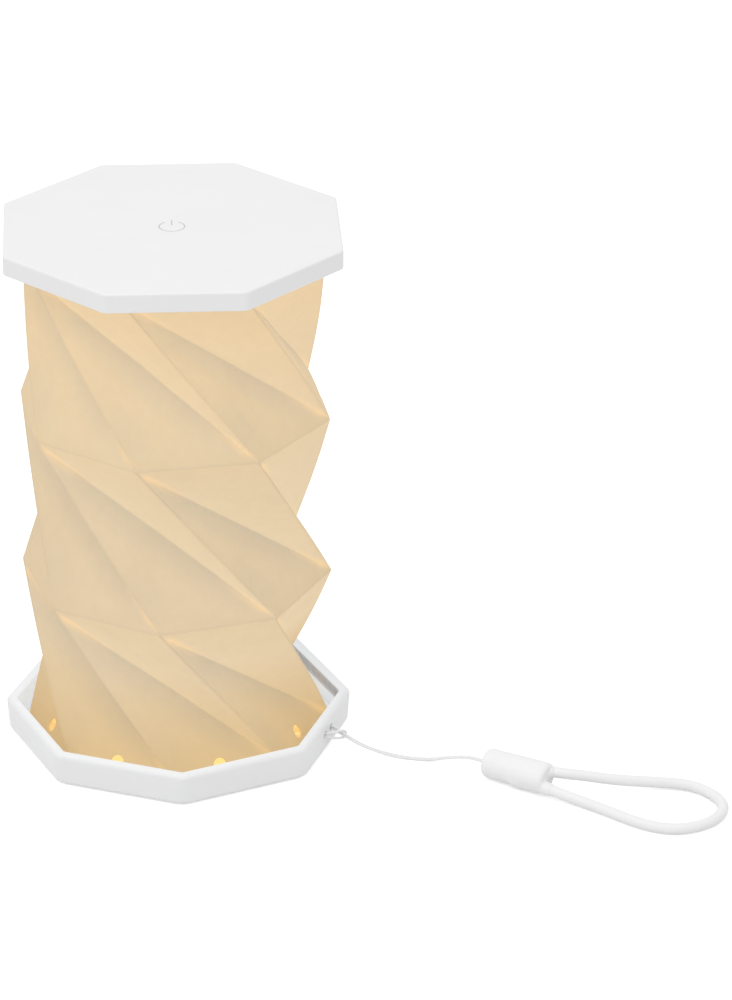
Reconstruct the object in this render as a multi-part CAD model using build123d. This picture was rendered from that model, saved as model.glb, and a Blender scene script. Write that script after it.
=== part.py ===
from build123d import *
import os
from math import atan, cos, degrees, hypot, radians, sin, tan

# A folding lantern lamp: an octagonal tray, a pleated three stage paper shade and an octagonal lid
# that holds the light, the cell and the touch switch. Millimetres, +Z up, the table at z = 0 and
# the origin below the middle of the tray. The tray has a corner on +X.

# Octagon
side_count = 8
side_step = 360 / side_count
half_side = radians(side_step / 2)

# Tray
tray_radius = 59.6            # centre to rim corner
tray_draft = 0.5              # the foot corner is this much further in than the rim corner
tray_height = 11.2
tray_floor = 1.2
tray_wall = 3.6
tray_corner_round = 3.4
tray_foot_corner_round = 8.0  # the corners are rounder at the foot
tray_inner_round = 1.6
tray_rim_round = 1.7
tray_inner_rim_round = 1.0
tray_foot_round = 1.1

# Rubber feet under the tray
foot_stand = 0.4              # how far a foot stands below the tray
foot_radius = 4.0
foot_sink = 0.6
foot_inset = 11.6             # from the rim's corner in to the foot's middle

# Shade, a folded sheet with twisted stages
shade_gap = 2.96              # across the flats, from the tray's inner wall to the shade's rings
stage_count = 3
stage_height = 59.7
stage_twist = 52.5            # each ring is turned this much from the ring below it
closed_twist = 90.0           # the same angle when the lamp is folded shut
sheet_inset = 0.9             # the inner surface's ring corners are this much further in
flange_thick = 0.6
flange_inset = 0.36           # at a flange the inner surface's corners are this much further in again
flange_width = 6.8
vent_radius = 2.3
vent_rise = 5.5               # height of a vent's middle above the shade's foot

# Clamp rings that hold the shade's two flanges, and the posts that they are staked on
clamp_thick = 1.2
clamp_width = 4.6
clamp_gap = 2.4               # across the flats, from the shade to the clamp ring
post_radius = 1.1
post_gap = 0.12

# Lid
lid_overhang = 0.4            # the lid's corners stand this much further out than the rim's
lid_thick = 6.6
lid_wall = 3.0
lid_skin = 1.3
lid_recess = 1.5              # from the lid's lower edge up to its base plate
lid_corner_round = 3.0
lid_top_round = 0.6
lid_edge_round = 0.4
plate_thick = 1.0
plate_gap = 0.15

# Screws that hold the base plate in the lid
screw_head_radius = 1.4
screw_head = 0.7
screw_shank = 0.7
screw_length = 2.6
screw_gap = 0.1
screw_inset = 2.6             # from the lid's inner corner to a screw
boss_radius = 1.7

# Touch switch
icon_radius = 4.2
icon_stroke = 0.45
icon_gap_angle = 62.0
icon_bar = 2.2
icon_depth = 0.15
pad_radius = 10.0
pad_thick = 0.1
pad_tail_width = 4.0

# Charging socket, control board and cell, inside the lid
port_side = 5                 # the lid's side with the charging socket, counted from its first corner
port_width = 8.9
port_height = 3.2
port_length = 7.3
port_wall = 0.3
port_set_back = 0.9
port_gap = 0.2
tongue_width = 6.6
tongue_height = 0.7
tongue_length = 5.4
board_width = 26.0
board_length = 22.0
board_thick = 0.8
board_stand = 0.6
board_gap = 1.0               # from the lid's inner wall to the board
stand_inset = 2.0             # from the board's edges to the middle of a stand
stand_radius = 1.5
chip_inset = 4.0              # from the board's edge to the row of chips
chip_height = 1.0
small_chip = (1.6, 0.8, 0.6)
small_chip_spot = (9.0, 12.0)  # beside the board's middle and in from its edge
cell_width = 50.0
cell_length = 34.0
cell_thick = 2.3
cell_round = 0.4
cell_gap = 7.4                # from the lid's inner wall to the cell
tape_thick = 0.2
tape_inset = 3.0
wire_radius = 0.45
wire_rise = 1.2               # the bend where a light wire turns from upright to flat
wire_aside = 7.0              # the first cell wire's place beside the middle
wire_detour = 6.0             # how far the cell wires swing out between the cell and the board
wire_stub = 4.0               # the straight part where a cell wire leaves or arrives
wire_slant = 6.0              # the length that each swing takes
wire_cross = 3.0              # how much nearer the middle a cell wire arrives
wire_spread = 1.5             # the light wires' place beside the middle
wire_slot = (6.0, 3.0)
wire_hole_inset = 3.0         # from the light board's edge in to its wires
contact_radius = 1.0

# Light under the base plate
led_board_radius = 14.5
led_board_thick = 1.0
led_count = 8
led_width = 2.8
led_length = 3.5
led_thick = 0.7
led_circle = 9.5
diffuser_radius = 16.0
diffuser_wall = 1.2
diffuser_depth = 6.5
diffuser_flange = 19.5
diffuser_flange_thick = 1.0
diffuser_screws = 3
diffuser_screw_circle = 17.8

# Catch: ribbed steel strips in the tray and bar magnets in the lid's lower edge
strip_side = 0                # the tray's side with the first strip, counted from the corner on +X
strip_height = 4.2
strip_thick = 0.5
strip_drop = 1.1              # from the rim down to the strip
strip_end_gap = 1.0
magnet_length = 20.0
magnet_width = 1.8
magnet_thick = 1.5

# Strap lug in the tray's wall
lug_side = -1
lug_height = 6.2              # above the tray's underside
lug_spacing = 6.0
lug_hole_radius = 1.3
lug_pocket_depth = 1.4
lug_pocket_height = 4.4
hitch_droop = 0.12            # how much the hitch comes down for each mm that it stands out

# Strap
strand_diameter = 0.8
strand_spacing = 0.9
loop_diameter = 3.8
sleeve_start = (103.1, -42.6)
sleeve_heading = -32.5
sleeve_length = 23.7
sleeve_radius = 5.1
sleeve_rear_width = 6.2       # half the rear end's width
sleeve_front_round = 2.2
sleeve_bore_radius = 1.3
sleeve_bore_depth = 3.0
collar_start = (12.0, -2.2, -1.2)
collar_end = (27.0, -3.4, -2.0)
collar_start_radius = 3.3
collar_end_radius = 2.4
collar_exit = 3.0             # the straight part where the loop's lower end leaves the collar
socket_gap = 0.1
socket_depth = 4.5
upper_socket = (3.0, 1.2)

# Radii that follow: the lid closes on the tray, and the shade folds inside both
lid_radius = tray_radius + lid_overhang
foot_circle = tray_radius - foot_inset

# Heights that follow from the sizes above
tray_base_z = foot_stand
floor_z = tray_base_z + tray_floor
rim_z = tray_base_z + tray_height
shade_top_z = floor_z + stage_count * stage_height
lid_base_z = shade_top_z - lid_recess
plate_z = shade_top_z
plate_top_z = plate_z + plate_thick
lid_top_z = lid_base_z + lid_thick
skin_z = lid_top_z - lid_skin

# Angles that follow
lid_turn = -stage_count * stage_twist
closing_turn = stage_count * (closed_twist - stage_twist)
port_angle = lid_turn + (port_side + 0.5) * side_step
lid_yaw = port_angle - 90
strip_angle = (strip_side + 0.5) * side_step
lug_angle = (lug_side + 0.5) * side_step


def flat_of(corner_radius):
    return corner_radius * cos(half_side)


def corner_of(flat_radius):
    return flat_radius / cos(half_side)


tray_inner_flat = flat_of(tray_radius) - tray_wall
lid_inner_flat = flat_of(lid_radius) - lid_wall
shade_flat = tray_inner_flat - shade_gap
shade_radius = corner_of(shade_flat)
cell_offset = lid_inner_flat - cell_gap - cell_length / 2
flange_inner_flat = shade_flat - flange_width
clamp_outer_flat = shade_flat - clamp_gap
clamp_inner_flat = clamp_outer_flat - clamp_width
post_flat = (clamp_outer_flat + clamp_inner_flat) / 2
lug_flat = flat_of(tray_radius - tray_draft * (1 - lug_height / tray_height))


def octagon(corner_radius, z, turn=0):
    return Pos(0, 0, z) * RegularPolygon(corner_radius, side_count, rotation=turn)


def octagon_block(corner_radius, z, height, turn=0):
    return extrude(octagon(corner_radius, z, turn), height)


def octagon_ring(outer_flat, inner_flat, z, height, turn=0):
    outer = octagon_block(corner_of(outer_flat), z, height, turn)
    return outer - octagon_block(corner_of(inner_flat), z - 1, height + 2, turn)


def disc(radius, z, height, x=0.0, y=0.0):
    return Pos(x, y, z) * Cylinder(radius, height, align=(Align.CENTER, Align.CENTER, Align.MIN))


def block(x_size, y_size, z_size, x, y, z):
    return Pos(x, y, z) * Box(x_size, y_size, z_size, align=(Align.CENTER, Align.CENTER, Align.MIN))


def rising_edges(solid):
    return solid.edges().filter_by(lambda e: abs((e % 0.5).Z) > 0.7)


def bottom_edges(solid):
    return solid.edges().group_by(Axis.Z)[0]


def top_edges(solid):
    return solid.edges().group_by(Axis.Z)[-1]


def on_sides(piece, flat_radius, turn=0):
    """Copies of a piece, one at the middle of each side."""
    middles = [turn + (k + 0.5) * side_step for k in range(side_count)]
    return [Rot(0, 0, a) * Pos(flat_radius, 0, 0) * piece for a in middles]


def on_corners(piece, corner_radius, turn=0):
    return [Rot(0, 0, turn + k * side_step) * Pos(corner_radius, 0, 0) * piece for k in range(side_count)]


def in_lid(piece):
    """A piece drawn with the charging socket towards +Y, turned to where the lid's side is."""
    return Rot(0, 0, lid_yaw) * piece


# Tray and what it carries

def lug_frame(out, along, up):
    """A point given from the lug's middle: out of the wall, along it and up."""
    angle = radians(lug_angle)
    reach = lug_flat + out
    return (
        reach * cos(angle) - along * sin(angle),
        reach * sin(angle) + along * cos(angle),
        tray_base_z + lug_height + up - hitch_droop * max(out, 0),
    )


def lug_cut():
    wall = lug_flat - tray_inner_flat
    hole = Rot(0, 90, 0) * Cylinder(lug_hole_radius, 4 * tray_wall)
    holes = [Pos(0, s * lug_spacing / 2, 0) * hole for s in (-1, 1)]
    width = lug_spacing + 2 * lug_hole_radius
    pocket = Pos(lug_pocket_depth - wall, 0, 0) * Box(
        2 * tray_wall, width, lug_pocket_height, align=(Align.MAX, Align.CENTER, Align.CENTER)
    )
    place = Rot(0, 0, lug_angle) * Pos(lug_flat, 0, tray_base_z + lug_height)
    return [place * cut for cut in (*holes, pocket)]


def strip_bars():
    """The catch strips' boxes, let into the tray's inner wall under the rim."""
    length = 2 * tray_inner_flat * tan(half_side) - 2 * strip_end_gap
    middle = tray_inner_flat + strip_thick / 2
    box = block(strip_thick, length, strip_height, middle, 0, rim_z - strip_drop - strip_height)
    return [Rot(0, 0, strip_angle + turn) * box for turn in (0, 180)]


def make_tray():
    foot = octagon(tray_radius - tray_draft, tray_base_z)
    foot = fillet(foot.vertices(), tray_foot_corner_round)
    rim = octagon(tray_radius, rim_z)
    rim = fillet(rim.vertices(), tray_corner_round)
    body = loft([foot, rim])
    body = fillet(bottom_edges(body), tray_foot_round)
    body = fillet(top_edges(body), tray_rim_round)
    well = octagon_block(corner_of(tray_inner_flat), floor_z, tray_height)
    well = fillet(rising_edges(well), tray_inner_round)
    body = body - well
    body = fillet(inner_rim_edges(body), tray_inner_rim_round)
    body = body - lug_cut() - strip_bars()
    for pocket in on_corners(disc(foot_radius, tray_base_z - 1, foot_sink + 1), foot_circle):
        body = body - pocket
    post = disc(post_radius, floor_z - 0.2, flange_thick + clamp_thick + 0.2)
    for peg in on_sides(post, post_flat):
        body = body + peg
    return body


def inner_rim_edges(body):
    reach = corner_of(tray_inner_flat) + 0.05
    return top_edges(body).filter_by(lambda e: hypot((e @ 0.5).X, (e @ 0.5).Y) < reach)


def make_feet():
    return on_corners(disc(foot_radius, 0, foot_sink + foot_stand), foot_circle)


def make_lower_clamp():
    z = floor_z + flange_thick
    ring = octagon_ring(clamp_outer_flat, clamp_inner_flat, z, clamp_thick)
    for hole in on_sides(disc(post_radius + post_gap, z - 1, clamp_thick + 2), post_flat):
        ring = ring - hole
    return ring


# Shade

def ring_corners(corner_radius, z, turn):
    angles = [radians(turn + k * side_step) for k in range(side_count)]
    return [Vector(corner_radius * cos(a), corner_radius * sin(a), z) for a in angles]


def flat_face(points):
    return Face(Wire.make_polygon(points, close=True))


def pleated_solid(rings):
    """A closed solid through rings of corners, with one crease out and one crease in per side."""
    faces = [flat_face(rings[0]), flat_face(rings[-1])]
    for low, high in zip(rings, rings[1:]):
        for k in range(side_count):
            after = (k + 1) % side_count
            faces.append(flat_face([low[k], low[after], high[k]]))
            faces.append(flat_face([high[k], high[after], low[after]]))
    return Solid(Shell(faces))


def vent_holes():
    """Round cuts square to the lowest facets, halfway across each."""
    share = vent_rise / stage_height
    lean = shade_flat - shade_radius * cos(radians(stage_twist) + half_side)
    shift = -shade_radius * sin(radians(stage_twist) + half_side) * share
    slope = degrees(atan(lean / stage_height))
    cutter = Rot(0, 90, 0) * Cylinder(vent_radius, 8)
    placed = Pos(-lean * share, shift, floor_z + vent_rise) * Rot(0, -slope, 0) * cutter
    return on_sides(placed, shade_flat)


def make_shade():
    levels = range(stage_count + 1)
    outer = [
        ring_corners(shade_radius, floor_z + k * stage_height, -k * stage_twist) for k in levels
    ]
    ends = {0: flange_thick, stage_count: -flange_thick}
    inner = [
        ring_corners(
            shade_radius - sheet_inset - (flange_inset if k in ends else 0),
            floor_z + k * stage_height + ends.get(k, 0),
            -k * stage_twist,
        )
        for k in levels
    ]
    sheet = pleated_solid(outer) - pleated_solid(inner)
    mouth = corner_of(flange_inner_flat)
    sheet = sheet - octagon_block(mouth, floor_z - 1, flange_thick + 2)
    sheet = sheet - octagon_block(mouth, shade_top_z - flange_thick - 1, flange_thick + 2, lid_turn)
    hole = disc(post_radius + post_gap, floor_z - 1, flange_thick + 1.5)
    for cut in on_sides(hole, post_flat):
        sheet = sheet - cut
    top_hole = disc(post_radius + post_gap, shade_top_z - flange_thick - 0.5, flange_thick + 1.5)
    for cut in on_sides(top_hole, post_flat, lid_turn):
        sheet = sheet - cut
    for cut in vent_holes():
        sheet = sheet - cut
    return sheet


# Lid and what it carries

def screw_spots():
    reach = corner_of(lid_inner_flat) - screw_inset
    return [Rot(0, 0, lid_turn + k * side_step) * Pos(reach, 0, 0) for k in range(side_count)]


def port_z():
    return plate_top_z + board_stand + board_thick / 2


def port_cutter(grow, length):
    """A rounded slot the size of the socket, from its mouth inwards."""
    height = port_height + 2 * grow
    slot = SlotOverall(port_width + 2 * grow, height)
    face = Plane(origin=(0, 0, port_z()), x_dir=(1, 0, 0), z_dir=(0, 1, 0)) * slot
    return extrude(face, length)


def port_mouth():
    return flat_of(lid_radius) - port_set_back


def magnet_bars():
    middle = flat_of(lid_radius) - lid_wall / 2
    bar = block(magnet_width, magnet_length, magnet_thick, middle, 0, lid_base_z)
    return [Rot(0, 0, strip_angle + closing_turn + turn) * bar for turn in (0, 180)]


def icon_shape(z, height):
    ring = Circle(icon_radius + icon_stroke / 2) - Circle(icon_radius - icon_stroke / 2)
    reach = 2 * icon_radius
    half = radians(icon_gap_angle / 2)
    wedge = make_face(Polyline((0, 0), (-reach * sin(half), reach * cos(half)),
                               (reach * sin(half), reach * cos(half)), close=True))
    ring = ring - wedge
    bar = Pos(0, icon_radius - icon_bar / 2) * SlotOverall(icon_bar * 2, icon_stroke, rotation=90)
    return [extrude(Pos(0, 0, z) * part, height) for part in (ring, bar)]


def make_lid_shell():
    body = octagon_block(lid_radius, lid_base_z, lid_thick, lid_turn)
    body = fillet(rising_edges(body), lid_corner_round)
    body = fillet(top_edges(body), lid_top_round)
    body = fillet(bottom_edges(body), lid_edge_round)
    hollow = octagon_block(corner_of(lid_inner_flat), lid_base_z - 1, skin_z - lid_base_z + 1, lid_turn)
    body = body - fillet(rising_edges(hollow), lid_corner_round - 1)
    pillar = disc(boss_radius, plate_top_z, lid_top_z - lid_skin / 2 - plate_top_z)
    hole = disc(screw_shank, plate_top_z - 1, screw_length - plate_thick + 1)
    for spot in screw_spots():
        body = body + spot * pillar
    for spot in screw_spots():
        body = body - spot * hole
    slot = Pos(0, port_mouth() - lid_wall - port_gap, 0) * port_cutter(port_gap, 3 * lid_wall)
    body = body - in_lid(slot)
    body = body - magnet_bars()
    for part in icon_shape(lid_top_z - icon_depth, 1):
        body = body - in_lid(part)
    return body


def make_icon():
    return [in_lid(part) for part in icon_shape(lid_top_z - icon_depth, icon_depth)]


def plate_octagon():
    return octagon_block(corner_of(lid_inner_flat - plate_gap), plate_z, plate_thick, lid_turn)


def board_middle():
    return lid_inner_flat - board_gap - board_length / 2


def stand_spots():
    x = board_width / 2 - stand_inset
    y = board_length / 2 - stand_inset
    return [(sx * x, board_middle() + sy * y) for sx in (-1, 1) for sy in (-1, 1)]


def wire_hole_y():
    return led_board_radius - wire_hole_inset


def make_base_plate():
    plate = fillet(rising_edges(plate_octagon()), lid_corner_round - 1)
    hole = disc(screw_shank + screw_gap, plate_z - 1, plate_thick + 2)
    for spot in screw_spots():
        plate = plate - spot * hole
    slot = Pos(0, port_mouth() - port_length - port_gap, 0) * port_cutter(port_gap, port_length + 9)
    plate = plate - in_lid(slot)
    for x, y in stand_spots():
        plate = plate + in_lid(disc(stand_radius, plate_top_z - 0.2, board_stand + 0.2, x, y))
    plate = plate - in_lid(block(*wire_slot, plate_thick + 2, 0, wire_hole_y(), plate_z - 1))
    post = disc(post_radius, plate_z - flange_thick - clamp_thick, flange_thick + clamp_thick + 0.2)
    for peg in on_sides(post, post_flat, lid_turn):
        plate = plate + peg
    for spot in diffuser_screw_spots():
        plate = plate - in_lid(spot * disc(screw_shank, plate_z - 1, plate_thick + 2))
    return plate


def screw(length):
    """A flat headed screw with its shank up from z = 0."""
    return disc(screw_head_radius, -screw_head, screw_head) + disc(screw_shank, -0.1, length + 0.1)


def make_lid_screws():
    return [spot * Pos(0, 0, plate_z) * screw(screw_length) for spot in screw_spots()]


def make_touch_pad():
    pad = disc(pad_radius, skin_z - pad_thick, pad_thick)
    reach = contact_y() + contact_radius
    tail = block(pad_tail_width, reach, pad_thick, 0, reach / 2, skin_z - pad_thick)
    return in_lid(pad + tail)


def contact_y():
    return board_middle()


def make_touch_contact():
    """The spring contact between the board and the touch pad's tail."""
    low = plate_top_z + board_stand + board_thick
    return in_lid(disc(contact_radius, low, skin_z - pad_thick - low, 0, contact_y()))


def make_board():
    y = board_middle()
    board = block(board_width, board_length, board_thick, 0, y, plate_top_z + board_stand)
    slot = Pos(0, port_mouth() - port_length - port_gap, 0) * port_cutter(port_gap, port_length + 9)
    return in_lid(board - slot)


def make_chips():
    top = plate_top_z + board_stand + board_thick
    row = board_edge() + chip_inset
    sizes = ((-7.5, 5.0, 4.0), (0.0, 3.0, 3.0), (6.5, 4.0, 5.0))
    chips = [block(w, d, chip_height, x, row, top) for x, w, d in sizes]
    aside, inward = small_chip_spot
    for side in (-1, 1):
        chips.append(block(*small_chip, side * aside, board_edge() + inward, top))
    return [in_lid(chip) for chip in chips]


def make_port():
    start = Pos(0, port_mouth() - port_length, 0)
    shell = start * port_cutter(0, port_length)
    hollow = Pos(0, port_wall, 0) * start * port_cutter(-port_wall, port_length)
    return in_lid(shell - hollow)


def make_tongue():
    y = port_mouth() - port_length + port_wall + tongue_length / 2
    z = port_z() - tongue_height / 2
    return in_lid(block(tongue_width, tongue_length, tongue_height, 0, y, z))


def make_cell():
    cell = block(cell_width, cell_length, cell_thick, 0, -cell_offset, plate_top_z + tape_thick)
    return in_lid(fillet(cell.edges().filter_by(Axis.X), cell_round))


def make_cell_tape():
    width = cell_width - 2 * tape_inset
    length = cell_length - 2 * tape_inset
    return in_lid(block(width, length, tape_thick, 0, -cell_offset, plate_top_z))


def wire(points, bend):
    path = FilletPolyline(*points, radius=bend)
    section = Plane(origin=path @ 0, z_dir=path % 0) * Circle(wire_radius)
    return sweep(section, path=path)


def board_edge():
    """Where the wires meet the board, on its side away from the socket."""
    return board_middle() - board_length / 2


def make_cell_wires():
    """Two wires from the cell's end to the board's edge."""
    cell_end = -cell_offset + cell_length / 2
    z = port_z()
    wires = []
    for x in (wire_aside, wire_aside + 4 * wire_radius):
        out = x + wire_detour
        away = cell_end + wire_stub
        back = board_edge() - wire_stub
        points = [(x, cell_end, z), (x, away, z), (out, away + wire_slant, z),
                  (out, back - wire_slant, z), (x - wire_cross, back, z), (x - wire_cross, board_edge(), z)]
        wires.append(in_lid(wire(points, 3 * wire_radius)))
    return wires


def make_led_wires():
    """Two wires up from the light board, through the base plate, to the control board."""
    z = port_z()
    y = wire_hole_y()
    wires = []
    for x in (-wire_spread, wire_spread):
        points = [(x, y, plate_z), (x, y, z), (x, board_edge(), z)]
        wires.append(in_lid(wire(points, wire_rise)))
    return wires


def make_magnets():
    return magnet_bars()


def make_strips():
    return strip_bars()


def make_upper_clamp():
    z = shade_top_z - flange_thick - clamp_thick
    ring = octagon_ring(clamp_outer_flat, clamp_inner_flat, z, clamp_thick, lid_turn)
    for hole in on_sides(disc(post_radius + post_gap, z - 1, clamp_thick + 2), post_flat, lid_turn):
        ring = ring - hole
    return ring


def make_led_board():
    return in_lid(disc(led_board_radius, plate_z - led_board_thick, led_board_thick))


def make_leds():
    z = plate_z - led_board_thick - led_thick
    led = block(led_width, led_length, led_thick, led_circle, 0, z)
    return [in_lid(Rot(0, 0, k * 360 / led_count) * led) for k in range(led_count)]


def diffuser_screw_spots():
    return [
        Rot(0, 0, (k + 0.25) * 360 / diffuser_screws) * Pos(diffuser_screw_circle, 0, 0)
        for k in range(diffuser_screws)
    ]


def make_diffuser():
    low = plate_z - diffuser_depth
    cup = disc(diffuser_radius, low, diffuser_depth)
    cup = fillet(bottom_edges(cup), 2 * diffuser_wall)
    cup = cup + disc(diffuser_flange, plate_z - diffuser_flange_thick, diffuser_flange_thick)
    cup = cup - disc(diffuser_radius - diffuser_wall, low + diffuser_wall, diffuser_depth)
    hole = disc(screw_shank + screw_gap, plate_z - diffuser_flange_thick - 1, diffuser_flange_thick + 2)
    for spot in diffuser_screw_spots():
        cup = cup - spot * hole
    return in_lid(cup)


def make_diffuser_screws():
    z = plate_z - diffuser_flange_thick
    length = diffuser_flange_thick + plate_thick
    return [in_lid(spot * Pos(0, 0, z) * screw(length)) for spot in diffuser_screw_spots()]


# Strap

def sleeve_point(along, aside, up):
    """A point given from the sleeve's front: along its line, aside to the left and up."""
    heading = radians(sleeve_heading)
    return (
        sleeve_start[0] + along * cos(heading) - aside * sin(heading),
        sleeve_start[1] + along * sin(heading) + aside * cos(heading),
        sleeve_radius + up,
    )


def sleeve_plane(along, aside=0.0, up=0.0):
    heading = radians(sleeve_heading)
    return Plane(
        origin=sleeve_point(along, aside, up),
        x_dir=(-sin(heading), cos(heading), 0),
        z_dir=(cos(heading), sin(heading), 0),
    )


def bend_radii(points):
    """The largest arc that each corner's two runs allow."""
    places = [Vector(*p) for p in points]
    runs = [b - a for a, b in zip(places, places[1:])]
    return [
        0.45 * min(a.length, b.length) / tan(radians(a.get_angle(b)) / 2)
        for a, b in zip(runs, runs[1:])
    ]


def cord_tube(name, points, diameter):
    radii = bend_radii(points)
    path = FilletPolyline(*points, radius=radii)
    section = Plane(origin=path @ 0, z_dir=path % 0) * Circle(diameter / 2)
    tube = sweep(section, path=path)
    ratio = tube.volume / (section.area * path.length)
    print(name, "length", round(path.length, 1), "volume ratio", round(ratio, 4))
    print(name, "radii", [round(r, 1) for r in radii])
    return tube


# The middle of the doubled thin cord, from the sleeve to the hitch
strand_route = [
    (97.0, -38.0, 4.6),
    (91.4, -34.0, 2.3),
    (84.4, -31.9, 0.42),
    (76.0, -30.0, 0.42),
    (67.8, -27.3, 1.4),
    (61.6, -25.8, 3.5),
]

# The upper half of the hitch, from the lug's middle: out, along and up
hitch_route = [
    (7.0, -0.2, 0.45),
    (4.2, 1.0, 0.47),
    (1.8, 2.7, 0.5),
    (0.1, 3.1, 0.5),
    (-2.52, 3.0, 0.5),
    (-2.53, -3.0, 0.5),
    (0.2, -3.1, 0.5),
    (2.2, -2.2, 1.0),
    (4.2, -0.4, 1.4),
    (5.9, 1.4, 1.32),
]


def strand_points(side):
    """One strand of the thin cord: beside the middle route, and above or below it at the hitch."""
    inner = sleeve_point(sleeve_bore_depth, side * strand_spacing / 2, 0)
    mouth = sleeve_point(-3.0, side * strand_spacing / 2, 0)
    middle = [sleeve_point(-3.0, 0, 0), *strand_route, lug_frame(*hitch_route[0])]
    beside = []
    for before, here, after in zip(middle, middle[1:], middle[2:]):
        dx = after[0] - before[0]
        dy = after[1] - before[1]
        reach = side * strand_spacing / 2 / hypot(dx, dy)
        beside.append((here[0] + dy * reach, here[1] - dx * reach, here[2]))
    return [inner, mouth, *beside]


def strap_cord_points():
    upper = [lug_frame(*p) for p in hitch_route]
    lower = [lug_frame(out, along, -up) for out, along, up in reversed(hitch_route)]
    return [*strand_points(1), *upper, *lower, *reversed(strand_points(-1))]


def make_strap_cord():
    return cord_tube("strap_cord", strap_cord_points(), strand_diameter)


def collar_point(along):
    """A point on the line of the collar that the loop's lower end runs into."""
    share = (along - collar_start[0]) / (collar_end[0] - collar_start[0])
    aside = collar_start[1] + share * (collar_end[1] - collar_start[1])
    up = collar_start[2] + share * (collar_end[2] - collar_start[2])
    return sleeve_point(along, aside, up)


loop_route = [
    (134.5, -54.0, 5.4),
    (146.0, -55.5, 4.0),
    (160.0, -55.0, 2.6),
    (173.4, -56.7, 1.92),
    (182.0, -69.5, 1.9),
    (177.2, -81.0, 1.9),
    (164.3, -86.6, 1.9),
    (153.0, -82.8, 1.9),
    (141.2, -72.2, 1.9),
    (134.0, -66.1, 1.92),
]


def loop_points():
    start = sleeve_point(sleeve_length - socket_depth, *upper_socket)
    mouth = sleeve_point(sleeve_length + 1.5, *upper_socket)
    back = collar_point(collar_end[0] + collar_exit)
    return [start, mouth, *loop_route, back, collar_point(collar_end[0] - socket_depth)]


def make_strap_loop():
    return cord_tube("strap_loop", loop_points(), loop_diameter)


def make_strap_sleeve():
    front = sleeve_plane(0) * Circle(sleeve_radius)
    rear = sleeve_plane(sleeve_length) * Ellipse(sleeve_rear_width, sleeve_radius)
    body = loft([front, rear])
    ends = body.edges().sort_by(lambda e: (e.center() - Vector(*sleeve_point(0, 0, 0))).length)
    body = fillet(ends[0], sleeve_front_round)
    collar = loft([
        sleeve_plane(*collar_start) * Circle(collar_start_radius),
        sleeve_plane(*collar_end) * Circle(collar_end_radius),
    ])
    body = body + collar
    bore = extrude(sleeve_plane(-1) * Circle(sleeve_bore_radius), sleeve_bore_depth + 1)
    socket = Circle(loop_diameter / 2 + socket_gap)
    upper = extrude(sleeve_plane(sleeve_length - socket_depth, *upper_socket) * socket, socket_depth + 5)
    low_start = Vector(*collar_point(collar_end[0] - socket_depth))
    low_end = Vector(*collar_point(collar_end[0]))
    low_plane = Plane(origin=low_start, z_dir=low_end - low_start)
    lower = extrude(low_plane * socket, 2 * socket_depth)
    return body - bore - upper - lower


nodes = {
    "tray": make_tray,
    "tray_feet": make_feet,
    "catch_strips": make_strips,
    "lower_shade_clamp": make_lower_clamp,
    "shade": make_shade,
    "upper_shade_clamp": make_upper_clamp,
    "lid_shell": make_lid_shell,
    "touch_icon": make_icon,
    "touch_pad": make_touch_pad,
    "lid_base_plate": make_base_plate,
    "lid_screws": make_lid_screws,
    "lid_magnets": make_magnets,
    "touch_contact": make_touch_contact,
    "control_board": make_board,
    "board_chips": make_chips,
    "charging_socket": make_port,
    "socket_tongue": make_tongue,
    "battery_cell": make_cell,
    "battery_tape": make_cell_tape,
    "battery_wires": make_cell_wires,
    "led_board": make_led_board,
    "leds": make_leds,
    "led_wires": make_led_wires,
    "diffuser": make_diffuser,
    "diffuser_screws": make_diffuser_screws,
    "strap_cord": make_strap_cord,
    "strap_sleeve": make_strap_sleeve,
    "strap_loop": make_strap_loop,
}


def write_nodes():
    os.makedirs("parts", exist_ok=True)
    for name, make in nodes.items():
        made = make()
        solids = made if isinstance(made, list) else [made]
        flat = [s for piece in solids for s in piece.solids()]
        export_step(Compound(children=flat), f"parts/{name}.step")


write_nodes()
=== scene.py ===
from math import cos, hypot, pi, radians, sin, tan

import bmesh
import bpy
from mathutils import Matrix, Vector
from mathutils.geometry import intersect_point_line


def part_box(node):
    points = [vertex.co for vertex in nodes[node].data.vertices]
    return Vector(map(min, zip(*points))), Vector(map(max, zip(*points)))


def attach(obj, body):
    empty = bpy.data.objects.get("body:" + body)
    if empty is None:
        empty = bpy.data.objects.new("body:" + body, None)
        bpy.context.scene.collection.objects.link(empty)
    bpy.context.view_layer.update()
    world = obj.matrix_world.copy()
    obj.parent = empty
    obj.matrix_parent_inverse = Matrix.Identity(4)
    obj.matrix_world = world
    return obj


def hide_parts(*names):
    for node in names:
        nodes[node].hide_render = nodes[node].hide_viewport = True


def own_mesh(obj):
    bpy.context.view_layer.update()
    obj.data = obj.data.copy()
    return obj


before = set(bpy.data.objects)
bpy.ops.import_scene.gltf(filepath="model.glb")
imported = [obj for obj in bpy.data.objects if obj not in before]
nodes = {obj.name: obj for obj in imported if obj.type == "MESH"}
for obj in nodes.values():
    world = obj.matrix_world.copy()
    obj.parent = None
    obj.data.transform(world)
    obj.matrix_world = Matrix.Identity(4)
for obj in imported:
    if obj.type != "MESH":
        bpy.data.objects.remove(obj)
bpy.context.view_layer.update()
mm = 0.001
sideCount = 8
sideStep = radians(360 / sideCount)
halfSide = sideStep / 2
print("frame loaded,", len(nodes), "CAD nodes")


# Camera, at the photograph's angle

view = {
    "lens": 167.5,        # mm, as the sensor
    "sensor": 36,
    "distance": 1.5773,
    "height": 0.0845,     # of the point on the lamp's middle line that sets the distance
    "elevation": 26.1,
    "yaw": 2.34,
    "roll": -0.83,
    "turn": -0.9,         # of the whole set-up round the lamp
}


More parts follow.
